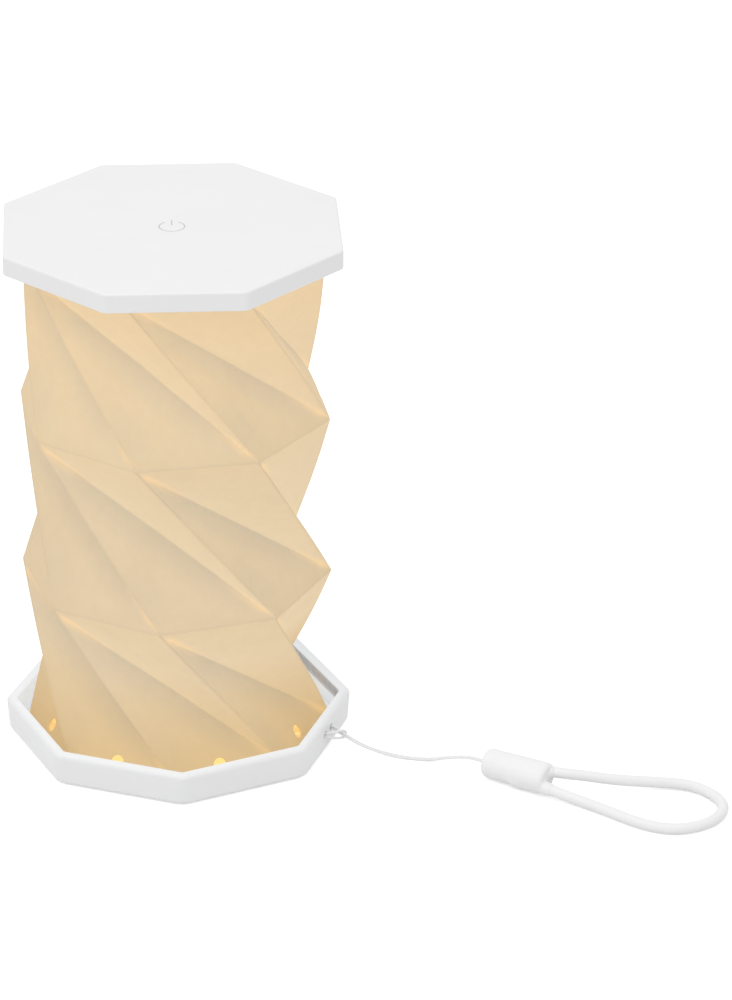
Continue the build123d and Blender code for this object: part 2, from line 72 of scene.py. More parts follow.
def makeCamera():
    data = bpy.data.cameras.new("photoCamera")
    data.lens = view["lens"]
    data.sensor_width = view["sensor"]
    camera = bpy.data.objects.new("photoCamera", data)
    bpy.context.collection.objects.link(camera)
    rise = radians(view["elevation"])
    away = Vector((0, -cos(rise), sin(rise))) * view["distance"]
    turn = Matrix.Rotation(radians(view["turn"]), 4, "Z")
    place = Matrix.Translation(away + Vector((0, 0, view["height"])))
    nod = Matrix.Rotation(radians(90 - view["elevation"]), 4, "X")
    yaw = Matrix.Rotation(-radians(view["yaw"]), 4, "Y")
    roll = Matrix.Rotation(radians(view["roll"]), 4, "Z")
    camera.matrix_world = turn @ place @ nod @ yaw @ roll
    bpy.context.scene.camera = camera


makeCamera()
print("camera placed")


# Shader maths: a wire is one socket, and a graph adds the nodes

class Wire:
    def __init__(self, graph, socket):
        self.graph = graph
        self.socket = socket

    def maths(self, operation, first, second=0.0):
        return self.graph.add("ShaderNodeMath", {"operation": operation}, {0: first, 1: second})

    def __add__(self, other):
        return self.maths("ADD", self, other)

    def __sub__(self, other):
        return self.maths("SUBTRACT", self, other)

    def __rsub__(self, other):
        return self.maths("SUBTRACT", other, self)

    def __mul__(self, other):
        return self.maths("MULTIPLY", self, other)

    def __truediv__(self, other):
        return self.maths("DIVIDE", self, other)

    __radd__ = __add__

    def least(self, other):
        return self.maths("MINIMUM", self, other)

    def most(self, other):
        return self.maths("MAXIMUM", self, other)

    def wave(self):
        return self.maths("SINE", self)

    def rest(self):
        return self.maths("FRACT", self)

    # 1 on a line and 0 from the reach outwards, where the wire is the distance from the line
    def near(self, reach):
        return (1 - self / reach).most(0.0)


class Graph:
    def __init__(self, tree):
        self.tree = tree

    def add(self, kind, settings=None, sockets=None, out=0):
        made = self.tree.nodes.new(kind)
        for key, value in (settings or {}).items():
            setattr(made, key, value)
        for key, value in (sockets or {}).items():
            self.plug(made.inputs[key], value)
        return Wire(self, made.outputs[out])

    def plug(self, socket, value):
        if isinstance(value, Wire):
            self.tree.links.new(value.socket, socket)
        else:
            socket.default_value = value

    def mix(self, share, first, second):
        return self.add("ShaderNodeMix", {"data_type": "RGBA"}, {0: share, 6: first, 7: second}, 2)

    def place(self):
        return self.add("ShaderNodeTexCoord", out="Object")

    def stretched(self, vector, scale):
        return self.add("ShaderNodeMapping", None, {"Vector": vector, "Scale": scale})

    def part(self, vector, letter):
        return self.add("ShaderNodeSeparateXYZ", None, {0: vector}, letter)

    def noise(self, vector, scale, detail=2.0, rough=0.5):
        return self.add("ShaderNodeTexNoise", None,
                        {"Vector": vector, "Scale": scale, "Detail": detail, "Roughness": rough})

    def bump(self, height, distance):
        return self.add("ShaderNodeBump", None,
                        {"Height": height, "Distance": distance, "Strength": 1.0})


class Finish(Graph):
    def __init__(self, name):
        self.material = bpy.data.materials.new(name)
        self.material.use_nodes = True
        super().__init__(self.material.node_tree)
        self.shader = self.tree.nodes["Principled BSDF"]

    def surface(self, **sockets):
        for key, value in sockets.items():
            self.plug(self.shader.inputs[key.replace("_", " ")], value)
        return self.material


# A colour as it shows on screen, 0 to 255, made linear
def tint(red, green, blue):
    def linear(level):
        share = level / 255
        return share / 12.92 if share <= 0.04045 else ((share + 0.055) / 1.055) ** 2.4
    return (linear(red), linear(green), linear(blue), 1.0)


def grey(level):
    return (level, level, level, 1.0)


# Finishes. Noise scales are per metre

plasticLook = {
    "white": tint(243, 243, 244),
    "shadeOfWhite": tint(239, 239, 240),
    "cloud": 45,
    "flow": 140,
    "grain": 2600,           # fine satin grain
    "grainDepth": 0.012 * mm,
    "roughness": 0.38,
    "flowRough": 0.1,
    "grainRough": 0.06,
}


def whitePlastic(name):
    look = plasticLook
    finish = Finish(name)
    place = finish.place()
    cloud = finish.noise(place, look["cloud"], 3, 0.6)
    grain = finish.noise(place, look["grain"], 3, 0.6)
    flow = finish.noise(place, look["flow"], 2, 0.4)
    return finish.surface(
        Base_Color=finish.mix(cloud, look["white"], look["shadeOfWhite"]),
        Roughness=look["roughness"] + flow * look["flowRough"] + grain * look["grainRough"],
        Normal=finish.bump(grain + flow * 0.8, look["grainDepth"]),
    )


innerLook = {
    "cloud": 120,
    "stain": 90,
    "brushing": 60,
    "weave": 1500,
    "metalDepth": 0.01 * mm,
    "weaveDepth": 0.01 * mm,
    "trackWidth": 0.06,      # share of the gap between tracks
    "otherCell": 0.4,        # the most that a cell takes of the track colour
}


# The colour clouds between two shades
def mouldedFinish(name, colour, second, grain, depth, roughness):
    finish = Finish(name)
    place = finish.place()
    cloud = finish.noise(place, innerLook["cloud"], 3, 0.6)
    fine = finish.noise(place, grain, 4, 0.65)
    finish.surface(
        Base_Color=finish.mix(cloud, tint(*colour), tint(*second)),
        Roughness=roughness + fine * 0.15,
        Normal=finish.bump(fine, depth),
    )
    return finish


def metalFinish(name, colour, second, stretch, roughness):
    finish = Finish(name)
    place = finish.place()
    brushed = finish.noise(finish.stretched(place, stretch), innerLook["brushing"], 4, 0.7)
    stain = finish.noise(place, innerLook["stain"], 3, 0.6)
    finish.surface(
        Base_Color=finish.mix(stain, tint(*colour), tint(*second)),
        Metallic=1.0,
        Roughness=roughness + brushed * 0.2,
        Normal=finish.bump(brushed, innerLook["metalDepth"]),
    )
    return finish


def boardFinish(name, mask, tracks, gap):
    finish = Finish(name)
    place = finish.place()
    cells = finish.add("ShaderNodeTexBrick", {"offset": 0.5}, {
        "Vector": place, "Scale": 1 / gap, "Mortar Size": innerLook["trackWidth"],
        "Color1": grey(0.0), "Color2": grey(innerLook["otherCell"]), "Mortar": grey(1.0),
    })
    weave = finish.noise(place, innerLook["weave"], 2, 0.5)
    finish.surface(
        Base_Color=finish.mix(cells, tint(*mask), tint(*tracks)),
        Roughness=0.3 + weave * 0.2,
        Normal=finish.bump(weave, innerLook["weaveDepth"]),
        Coat_Weight=0.4,
    )
    return finish


strapLook = {
    "white": tint(247, 247, 247),
    "shadeOfWhite": tint(243, 243, 243),
    "cloud": 70,
    "grain": 1700,
    "grainDepth": 0.02 * mm,
    "cordWhite": tint(246, 246, 246),
    "cordShadow": tint(226, 226, 227),
    "braidPitch": 1.1 * mm,
    "braidDepth": 0.03 * mm,
    "strands": 4,            # round the cord, in each direction
}


def rubberFinish(name):
    look = strapLook
    finish = Finish(name)
    place = finish.place()
    cloud = finish.noise(place, look["cloud"], 3, 0.6)
    grain = finish.noise(place, look["grain"], 4, 0.6)
    return finish.surface(
        Base_Color=finish.mix(cloud, look["white"], look["shadeOfWhite"]),
        Roughness=0.52 + grain * 0.14,
        Normal=finish.bump(grain, look["grainDepth"]),
    )


# Two sets of strands that cross, on the cord's own map: along it and round it
def braidFinish(name, length):
    look = strapLook
    finish = Finish(name)
    chart = finish.add("ShaderNodeTexCoord", out="UV")
    along = finish.part(chart, "X") * (length / look["braidPitch"]) * 2 * pi
    around = finish.part(chart, "Y") * look["strands"] * 2 * pi
    strands = ((along + around).wave()).most((along - around).wave()) * 0.5 + 0.5
    return finish.surface(
        Base_Color=finish.mix(strands, look["cordShadow"], look["cordWhite"]),
        Roughness=0.75,
        Normal=finish.bump(strands, look["braidDepth"]),
    )


# Finishes on the CAD nodes that stay

# Nodes, two colours, grain per metre, its depth and the roughness
moulded = {
    "clampPlastic": (("lower_shade_clamp", "upper_shade_clamp"),
                     (222, 222, 218), (214, 214, 210), 1800, 0.02 * mm, 0.45),
    "footRubber": (("tray_feet",), (212, 212, 212), (200, 200, 200), 1500, 0.05 * mm, 0.7),
    "iconInk": (("touch_icon",), (206, 206, 208), (196, 196, 199), 2500, 0.01 * mm, 0.5),
    "chipBlack": (("board_chips", "socket_tongue"),
                  (32, 32, 34), (44, 44, 46), 2200, 0.02 * mm, 0.4),
    "tapeFoam": (("battery_tape",), (70, 70, 72), (52, 52, 54), 900, 0.1 * mm, 0.85),
    "wireSleeves": (("battery_wires", "led_wires"),
                    (176, 34, 30), (150, 24, 22), 1200, 0.02 * mm, 0.45),
    "ledYellow": (("leds",), (244, 214, 110), (238, 202, 90), 900, 0.02 * mm, 0.3),
    "frostedCup": (("diffuser",), (250, 244, 230), (244, 236, 220), 1100, 0.03 * mm, 0.5),
}

# Colour and strength of the light that they give
lit = {
    "ledYellow": ((1.0, 0.82, 0.55, 1.0), 3.0),
    "frostedCup": ((1.0, 0.80, 0.52, 1.0), 1.2),
}

# Nodes, two colours, how the brushing is drawn out and the roughness
metals = {
    "copperFoil": (("touch_pad",), (214, 140, 104), (196, 122, 90), (1, 40, 1), 0.25),
    "zincScrews": (("lid_screws", "diffuser_screws", "touch_contact"),
                   (186, 188, 192), (160, 163, 168), (30, 1, 1), 0.3),
    "magnetNickel": (("lid_magnets",), (196, 196, 198), (180, 180, 184), (1, 30, 1), 0.15),
    "socketMetal": (("charging_socket",), (190, 191, 195), (170, 171, 176), (1, 1, 30), 0.25),
    "cellFoil": (("battery_cell",), (198, 200, 205), (176, 178, 184), (1, 8, 1), 0.3),
}

# Nodes, mask colour, track colour and the tracks' gap
boards = {
    "greenBoard": (("control_board",), (18, 92, 48), (60, 140, 80), 2.4 * mm),
    "whiteBoard": (("led_board",), (236, 236, 232), (214, 214, 206), 3.0 * mm),
}


def dress(names, material):
    for name in names:
        for slot in nodes[name].material_slots:
            slot.material = material


def dressNodes():
    dress(("tray", "lid_shell"), whitePlastic("whitePlastic"))
    dress(("lid_base_plate",), whitePlastic("plateWhite"))
    makers = ((moulded, mouldedFinish), (metals, metalFinish), (boards, boardFinish))
    for table, makeFinish in makers:
        for name, (names, *values) in table.items():
            finish = makeFinish(name, *values)
            if name in lit:
                colour, strength = lit[name]
                finish.surface(Emission_Color=colour, Emission_Strength=strength)
            dress(names, finish.material)


dressNodes()
print("CAD nodes dressed")


# Small helpers for meshes

holeSides = 40


def showMesh(name, bm, materials):
    mesh = bpy.data.meshes.new(name)
    bm.to_mesh(mesh)
    bm.free()
    piece = bpy.data.objects.new(name, mesh)
    bpy.context.collection.objects.link(piece)
    for material in materials:
        mesh.materials.append(material)
    return piece


def smooth(piece):
    for polygon in piece.data.polygons:
        polygon.use_smooth = True


# Applies every modifier, so that the mesh is final
def settle(piece):
    graph = bpy.context.evaluated_depsgraph_get()
    final = bpy.data.meshes.new_from_object(piece.evaluated_get(graph))
    final.name = piece.name
    piece.modifiers.clear()
    piece.data = final


# Cuts cylinders away, each given by its place, radius and depth
def cutAway(piece, cutters):
    bm = bmesh.new()
    for place, radius, depth in cutters:
        bmesh.ops.create_cone(bm, cap_ends=True, segments=holeSides, radius1=radius,
                              radius2=radius, depth=depth, matrix=place)
    cutter = showMesh(piece.name + "Cutter", bm, [])
    boolean = piece.modifiers.new("cut", "BOOLEAN")
    boolean.operation = "DIFFERENCE"
    boolean.solver = "EXACT"
    boolean.object = cutter
    settle(piece)
    bpy.data.objects.remove(cutter)


# Extrudes open edges, moves the new ones and returns them
def extrudeRing(bm, edges, matrix):
    made = bmesh.ops.extrude_edge_only(bm, edges=edges)["geom"]
    verts = {item for item in made if isinstance(item, bmesh.types.BMVert)}
    bmesh.ops.transform(bm, matrix=matrix, verts=list(verts))
    ring = [item for item in made if isinstance(item, bmesh.types.BMEdge)]
    return [edge for edge in ring if set(edge.verts) <= verts]


def scaled(factor):
    return Matrix.Diagonal((factor, factor, 1, 1))


# Shade

shade = {
    "twists": (52.5, 52.5, 49.5),    # degrees, from each ring to the next, upwards
    "sheet": 0.5 * mm,
    "foldRound": 0.3 * mm,           # half the width of a rounded fold
    "longEdge": 12 * mm,             # edges longer than this are divided
    "flange": 6.8 * mm,
    "postIn": 4.7 * mm,              # across the flats, from the shade in to a post
    "postHole": 1.22 * mm,
    "postCutter": 3 * mm,            # depth of the cylinder that cuts a hole
    "ventRadius": 2.3 * mm,
    "ventRise": 5.5 * mm,            # above the shade's foot
    "ventCutter": 8 * mm,
    "lidTurn": -157.5,               # degrees, of the top flange's post holes
    "cuts": 11,                      # that divide each long edge
    "ringGains": (0, 0.5 * mm, 1.0 * mm, 0.3 * mm),    # how much further out a ring stands
    "bows": (0.9 * mm, 0.6 * mm, 0.9 * mm),    # how far a stage's outer folds bend outwards
    "bowReach": 18 * mm,             # from an outer fold, as far as the facet bends with it
    "sharpFold": 25,                 # degrees, from which an edge looks sharp
    "keptWhenFolded": 0.0648,        # share of the height
}

paperLook = {
    "paper": tint(203, 191, 172),
    "paperDark": tint(194, 181, 161),
    # painted shade at the foot, down in the tray, darker and warmer
    "footShadePaper": tint(188, 168, 130),
    # painted shade along the folds, also the colour of the small flecks
    "foldShadeAndSpeck": tint(180, 169, 158),
    "foldWidth": 0.9 * mm,
    "footShadeShare": 0.8,             # share of the painted shade at the foot in the mix
    "ringFoldShade": 0.25,            # strength of the painted shade along the ring folds
    "outerFoldShade": (0.1, 0.5),     # painted shade along the outer folds: at a stage's foot, and what it gains up the stage
    "cloud": 38,
    "mottle": 260,
    "fibre": 1100,
    "fibreDepth": 0.03 * mm,
    "specks": 62,                # one small fleck in each cell
    "speckSize": 0.035,          # share of a cell
    "glow": (0.250, 0.150, 0.028, 1.0),
    "glowLampward": (0.345, 0.225, 0.080, 1.0),    # on the facets that face the lamp inside
    "glowTop": (0.47, 0.28, 0.07, 1.0),
    "glowFoot": (0.30, 0.14, 0.0, 1.0),
    "glowCorner": (0.58, 0.31, 0.045, 1.0),
    "glowSpread": (0.50, 0.59, 0.69, 1.0),    # as it lights what stands beside the shade
    "topShare": 0.7,
    "footShare": 0.7,
    "cloudDark": 0.14,           # how much each takes from the glow
    "mottleDark": 0.10,
    "foldShadeDark": 0.3,
    "valleyDark": 0.35,
    # painted light: the glow of the lamp's light on the inside of the shade
    "inside": (0.78, 0.535, 0.21, 1.0),
    "insideCloud": 60,
    "insideDark": 0.15,
    "topReach": 75 * mm,         # how far down the top's glow comes
    "footReach": 40 * mm,        # how far up the painted shade and the warmer glow at the foot reach
    "cornerWidth": 2.4 * mm,     # of the bright line along an inner fold, beside a ring
    "cornerReach": 18 * mm,
    "cornerClear": 1 * mm,       # the bright line starts this far from the ring
    "cornerFade": 3 * mm,
    "valleyWidth": 10 * mm,      # of the shadow along an inner fold
}


# The glow as its neighbours see it has no warmth, so the white tray stays white
def spreadGlow(finish, glow):
    diffuse = finish.add("ShaderNodeLightPath", out="Is Diffuse Ray")
    return finish.mix(diffuse, glow, paperLook["glowSpread"])


def paperFinish():
    look = paperLook
    finish = Finish("shadePaper")
    place = finish.place()
    low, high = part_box("shade")
    rise = (high.z - low.z) / len(shade["twists"])
    folds = finish.add("ShaderNodeAttribute", {"attribute_name": "folds"}, out="Vector")
    lampward = finish.add("ShaderNodeAttribute", {"attribute_name": "lampward"}, out="Fac")
    ringGap = finish.part(folds, "X")
    innerGap = finish.part(folds, "Y")
    outerGap = finish.part(folds, "Z")
    up = finish.part(place, "Z")
    cloud = finish.noise(place, look["cloud"], 4, 0.6)
    mottle = finish.noise(place, look["mottle"], 3, 0.6)
    fibre = finish.noise(place, look["fibre"], 4, 0.7)
    speck = finish.add("ShaderNodeTexVoronoi", {"feature": "F1"},
                       {"Vector": place, "Scale": look["specks"]})
    stageShare = ((up - low.z) / rise).rest()
    # Painted shade along the folds, on the outer folds stronger up each stage
    faint, gain = look["outerFoldShade"]
    outerFoldShade = outerGap.near(look["foldWidth"]) * (faint + stageShare * gain)
    lines = (ringGap.near(look["foldWidth"]) * look["ringFoldShade"]).most(outerFoldShade)
    # Nearness to the foot, for the painted shade there and the warmer glow
    foot = ((low.z + look["footReach"] - up) / look["footReach"]).most(0.0)
    top = ((up - (high.z - look["topReach"])) / look["topReach"]).most(0.0)
    clear = ((ringGap - look["cornerClear"]) / look["cornerFade"]).most(0.0).least(1.0)
    corner = innerGap.near(look["cornerWidth"]) * ringGap.near(look["cornerReach"]) * clear
    middle = (ringGap / look["cornerReach"]).least(1.0)
    # Painted shadow along the inner folds, on the facets that face away from the lamp, weaker near
    # the rings
    valleyShadow = innerGap.near(look["valleyWidth"]) * (1 - lampward) * middle

    paper = finish.mix(cloud * 0.5 + mottle * 0.5, look["paper"], look["paperDark"])
    # Painted shade, darker and warmer, on the paper near the tray
    paper = finish.mix(foot * look["footShadeShare"], paper, look["footShadePaper"])
    # Painted shade along the folds, then small flecks of the same colour
    paper = finish.mix(lines, paper, look["foldShadeAndSpeck"])
    paper = finish.mix(speck.near(look["speckSize"]) * 0.5, paper, look["foldShadeAndSpeck"])
    glow = finish.mix(lampward, look["glow"], look["glowLampward"])
    glow = finish.mix(top * look["topShare"], glow, look["glowTop"])
    glow = finish.mix(foot * look["footShare"], glow, look["glowFoot"])
    glow = finish.mix(corner, glow, look["glowCorner"])
    # Glow taken away by the paper's clouds, by the painted shade along the folds and by the painted
    # shadow by the inner folds
    dark = cloud * look["cloudDark"] + mottle * look["mottleDark"] + lines * look["foldShadeDark"]
    glow = finish.mix(dark + valleyShadow * look["valleyDark"], glow, grey(0.0))
    return finish.surface(
        Base_Color=paper,
        Roughness=0.78,
        Emission_Color=spreadGlow(finish, glow),
        Emission_Strength=1.0,
        Normal=finish.bump(fibre + mottle * 1.5, look["fibreDepth"]),
    )


# The inside of the shade, painted as glowing with the lamp's light that falls on it
def insideFinish():
    look = paperLook
    finish = Finish("shadeInside")
    cloud = finish.noise(finish.place(), look["insideCloud"], 4, 0.6)
    return finish.surface(
        Base_Color=finish.mix(cloud, look["paper"], look["paperDark"]),
        Roughness=0.8,
        Emission_Color=finish.mix(cloud * look["insideDark"], look["inside"], grey(0.0)),
        Emission_Strength=1.0,
    )


# The gap from a point to the nearest of some lines, and how far along that line it lies
def nearestOn(lines, point):
    best = None
    for start, end in lines:
        spot, share = intersect_point_line(point, start, end)
        share = min(max(share, 0), 1)
        gap = (start.lerp(end, share) - point).length
        if best is None or gap < best[0]:
            best = (gap, share)
    return best


# Cylinders for the vents, each square to a facet that stands on the foot
def ventCuts(facets, foot):
    cuts = []
    for face in facets:
        base = [v for v in face.verts if v.co.z < foot + mm]
        if len(base) == 2:
            tip = next(v for v in face.verts if v not in base)
            share = shade["ventRise"] / (tip.co.z - foot)
            spot = ((base[0].co + base[1].co) / 2).lerp(tip.co, share)
            turn = face.normal.to_track_quat("Z", "Y").to_matrix().to_4x4()
            cuts.append((Matrix.Translation(spot) @ turn, shade["ventRadius"], shade["ventCutter"]))
    return cuts


# Cylinders for the clamp posts in both flanges
def postCuts(low, high):
    reach = high.x * cos(halfSide) - shade["postIn"]
    cuts = []
    for side in range(sideCount):
        for z, turn in ((low.z, 0), (high.z, radians(shade["lidTurn"]))):
            angle = turn + (side + 0.5) * sideStep
            spot = Vector((reach * cos(angle), reach * sin(angle), z))
            cuts.append((Matrix.Translation(spot), shade["postHole"], shade["postCutter"]))
    return cuts


# Both flanges and the twisted stages between them. Returns the edges of the rings
def buildPleats(bm, low, high, rise):
    radius = high.x
    inner = (radius * cos(halfSide) - shade["flange"]) / cos(halfSide)
    start = bmesh.ops.create_circle(bm, segments=sideCount, radius=inner,
                                    matrix=Matrix.Translation((0, 0, low.z)))
    edges = list({e for v in start["verts"] for e in v.link_edges})
    edges = extrudeRing(bm, edges, scaled(radius / inner))
    rings = list(edges)
    sizes = [radius + gain for gain in shade["ringGains"]]
    for twist, before, after in zip(shade["twists"], sizes, sizes[1:]):
        turn = Matrix.Rotation(-radians(twist), 4, "Z") @ scaled(after / before)
        edges = extrudeRing(bm, edges, Matrix.Translation((0, 0, rise)) @ turn)
        rings += edges
    extrudeRing(bm, edges, scaled(inner / sizes[-1]))
    for face in list(bm.faces):
        heights = [v.co.z for v in face.verts]
        if min(heights) < max(heights) - mm:
            corners = list(face.verts)
            pair = max((corners[0::2], corners[1::2]), key=lambda p: (p[0].co - p[1].co).length)
            bmesh.ops.connect_verts(bm, verts=pair)
    return rings


# The fold lines as pairs of end points: the rings, the long inner folds and the short outer ones
def foldLines(folds, rings):
    slanted = sorted(folds - set(rings), key=lambda e: e.calc_length())
    half = len(slanted) // 2
    groups = []
    for group in (rings, slanted[half:], slanted[:half]):
        groups.append([sorted((v.co.copy() for v in e.verts), key=lambda co: co.z) for e in group])
    return groups


# Stores each point's distance from the folds and bends the outer folds outwards
def bendFolds(bm, lines, low, rise):
    gapLayer = bm.loops.layers.float_vector.new("folds")
    lampLayer = bm.loops.layers.float.new("lampward")
    moves = {}
    for vert in bm.verts:
        stage = min(int((vert.co.z - low.z) / rise), len(shade["twists"]) - 1)
        gaps = [nearestOn(group, vert.co) for group in lines]
        for loop in vert.link_loops:
            loop[gapLayer] = [gap for gap, share in gaps]
            loop[lampLayer] = min(max(0.5 - loop.face.normal.z, 0), 1)
        gap, share = gaps[2]
        reach = max(1 - gap / shade["bowReach"], 0)
        outward = Vector((vert.co.x, vert.co.y, 0)).normalized()
        moves[vert] = outward * shade["bows"][stage] * sin(pi * share) * reach * (2 - reach)
    for vert, move in moves.items():
        vert.co += move


def makeShade():
    low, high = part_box("shade")
    rise = (high.z - low.z) / len(shade["twists"])
    bm = bmesh.new()
    rings = buildPleats(bm, low, high, rise)
    bmesh.ops.recalc_face_normals(bm, faces=bm.faces)
    bm.normal_update()
    facets = [f for f in bm.faces if len(f.verts) == 3]
    if sum(f.normal.xy.dot(f.calc_center_median().xy) for f in facets) < 0:
        bmesh.ops.reverse_faces(bm, faces=bm.faces)
    cuts = ventCuts(facets, low.z) + postCuts(low, high)
    folds = {e for f in facets for e in f.edges}
    lines = foldLines(folds, rings)
    bmesh.ops.bevel(bm, geom=list(folds), offset=shade["foldRound"], segments=2, profile=0.5,
                    affect="EDGES", clamp_overlap=True, material=-1)
    longEdges = [e for e in bm.edges if e.calc_length() > shade["longEdge"]]
    bmesh.ops.subdivide_edges(bm, edges=longEdges, cuts=shade["cuts"], use_grid_fill=True)
    bm.normal_update()
    bendFolds(bm, lines, low, rise)
    piece = showMesh("shade_sheet", bm, [paperFinish(), insideFinish()])
    thicken = piece.modifiers.new("thicken", "SOLIDIFY")
    thicken.thickness = shade["sheet"]
    thicken.offset = -1
    thicken.material_offset = 1
    thicken.material_offset_rim = 1
    settle(piece)
    cutAway(piece, cuts)
    smooth(piece)
    piece.data.set_sharp_from_angle(angle=radians(shade["sharpFold"]))
    return piece


shadeSheet = makeShade()
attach(shadeSheet, "shade")
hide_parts("shade")
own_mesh(shadeSheet)
print("shade folded,", len(shadeSheet.data.polygons), "faces")


# Catch: ribbed steel strips under the rim, inside the tray

catch = {
    "ribPitch": 1.0 * mm,
    "ribDepth": 0.24 * mm,
    "thick": 0.5 * mm,
    "wallFlat": 51.463 * mm,    # from the lamp's middle line to the tray's inner wall
    "endGap": 1.0 * mm,
    "flatEdge": 0.1 * mm,       # the ribs stop this far from the strip's long edges
    "turns": (22.5, 202.5),     # degrees, of the two sides that have a strip
    "steel": tint(226, 227, 231),
    # painted shade, darker down in the grooves between the ribs
    "grooveShade": tint(136, 138, 144),
    # painted shade along the strip's long edges
    "edge": tint(142, 144, 150),
    "edgeShadeWidth": 0.45 * mm,
    "scratches": 240,
    "scratchDepth": 0.01 * mm,
}


def stripFinish():
    finish = Finish("ribbedSteel")
    low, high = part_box("catch_strips")
    place = finish.place()
    up = finish.part(place, "Z")
    # Painted shade down in the grooves and along the strip's long edges
    depth = finish.add("ShaderNodeAttribute", {"attribute_name": "grooveShade"}, out="Fac")
    edge = (up - low.z).least(high.z - up).near(catch["edgeShadeWidth"])
    scratches = finish.noise(finish.stretched(place, (1, 1, 14)), catch["scratches"], 3, 0.6)
    colour = finish.mix(depth, catch["steel"], catch["grooveShade"])
    colour = finish.mix(edge * 0.8, colour, catch["edge"])
    return finish.surface(
        Base_Color=colour,
        Metallic=0.25,
        Roughness=0.38 + scratches * 0.2,
        Normal=finish.bump(scratches, catch["scratchDepth"]),
    )


# One strip, made flat with its ribs upwards and then stood against the wall
def addStrip(bm, length, height, middle, turn):
    ribs = round(length / catch["ribPitch"])
    grid = bmesh.ops.create_grid(bm, x_segments=2 * ribs, y_segments=4, size=0.5)["verts"]
    bmesh.ops.scale(bm, vec=(length, height, 1), verts=grid)
    for vert in grid:
        column = round((vert.co.x / length + 0.5) * 2 * ribs)
        if abs(vert.co.y) < height / 2 - catch["flatEdge"] and column % 2:
            vert.co.z = -catch["ribDepth"]
    faces = list({f for v in grid for f in v.link_faces})
    made = bmesh.ops.extrude_face_region(bm, geom=faces, use_keep_orig=True)["geom"]
    back = [v for v in made if isinstance(v, bmesh.types.BMVert)]
    for vert in back:
        vert.co.z = -catch["thick"]
    wall = Matrix.Translation((catch["wallFlat"], 0, middle))
    stand = Matrix.Rotation(turn, 4, "Z") @ wall
    upright = Matrix.Rotation(radians(-90), 4, "Y") @ Matrix.Rotation(radians(90), 4, "Z")
    bmesh.ops.transform(bm, matrix=stand @ upright, verts=grid + back)


def makeCatch():
    low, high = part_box("catch_strips")
    length = 2 * (catch["wallFlat"] * tan(halfSide) - catch["endGap"])
    turns = [radians(turn) for turn in catch["turns"]]
    bm = bmesh.new()
    grooveShadeLayer = bm.loops.layers.float.new("grooveShade")
    for turn in turns:
        addStrip(bm, length, high.z - low.z, (low.z + high.z) / 2, turn)
    bmesh.ops.recalc_face_normals(bm, faces=bm.faces)
    # How far down a groove each point lies, for the painted shade there
    for face in bm.faces:
        for loop in face.loops:
            spot = loop.vert.co
            reach = max(abs(spot.x * cos(turn) + spot.y * sin(turn)) for turn in turns)
            loop[grooveShadeLayer] = min(max((reach - catch["wallFlat"]) / catch["ribDepth"], 0), 1)
    return showMesh("ribbed_catch_strips", bm, [stripFinish()])


catchStrips = makeCatch()
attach(catchStrips, "tray")
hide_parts("catch_strips")
print("catch strips ribbed")


# Strap: a doubled thin cord hitched in the lug, a moulded sleeve and a rubber loop

# Bare lengths are in mm
strap = {
    "cordDiameter": 0.8 * mm,
    "cordSpacing": 0.9 * mm,
    "cordLead": 3.0,            # from the bore straight out
    "loopDiameter": 3.8 * mm,
    "sleeveStart": (103.1, -42.6),
    "sleeveHeading": -32.5,
    "sleeveLength": 23.7,
    "sleeveRadius": 5.1,
    "sleeveRearWidth": 6.2,     # half the rear end's width
    "boreRadius": 1.3,
    "boreDepth": 3.0,
    "boreCutter": 10,           # depth of the cylinder that cuts the bore
    "frontRound": 1.8,
    "rearRound": 2.4,
    "rearDrop": 1.2,            # how much narrower the rear end is all round
    "roundSteps": 5,
    "bodySteps": 6,
    "rootSteps": 7,
    "ringPoints": 32,           # of each ring that is bridged
    "rootRadii": (3.6, 2.08),
    "upperRoot": ((13.0, 1.6, 0.7), (24.6, 3.0, 1.2)),    # along, aside and up
    "lowerRoot": ((12.0, -2.2, -1.2), (27.0, -3.4, -2.0)),
    "lowerExit": 3.0,           # the loop runs on in the lower root's line for this long
    "upperSocket": (3.0, 1.2),
    "upperExit": 1.5,
    "socketDepth": 4.5,
    "voxel": 0.28 * mm,         # of the mesh that joins sleeve and roots
    "softening": 14,            # rounds
    "lugAngle": -22.5,
    "lugHeight": 6.6,
    "lugDrop": 0.5 * (1 - 6.2 / 11.2),    # the tray's draft, 6.2 up its height of 11.2
    "trayRadius": 59.6,
    "hitchDroop": 0.12,         # how much the hitch comes down for each mm that it stands out
}

# The middle of the doubled thin cord, from the sleeve to the hitch, mm
strandRoute = [
    (97.0, -38.0, 4.6),
    (91.4, -34.0, 2.3),
    (84.4, -31.9, 0.42),
    (76.0, -30.0, 0.42),
    (67.8, -27.3, 1.4),
    (61.6, -25.8, 3.5),
]

# The upper half of the hitch, from the lug's middle: out, along and up, mm
hitchRoute = [
    (7.0, -0.2, 0.45),
    (4.2, 1.0, 0.47),
    (1.8, 2.7, 0.5),
    (0.1, 3.1, 0.5),
    (-2.52, 3.0, 0.5),
    (-2.53, -3.0, 0.5),
    (0.2, -3.1, 0.5),
    (2.2, -2.2, 1.0),
    (4.2, -0.4, 1.4),
    (5.9, 1.4, 1.32),
]

# The rubber loop, mm
loopRoute = [
    (134.5, -54.0, 5.4),
    (146.0, -55.5, 4.0),
    (160.0, -55.0, 2.6),
    (173.4, -56.7, 1.92),
    (182.0, -69.5, 1.9),
    (177.2, -81.0, 1.9),
    (164.3, -86.6, 1.9),
    (153.0, -82.8, 1.9),
    (141.2, -72.2, 1.9),
    (134.0, -66.1, 1.92),
]


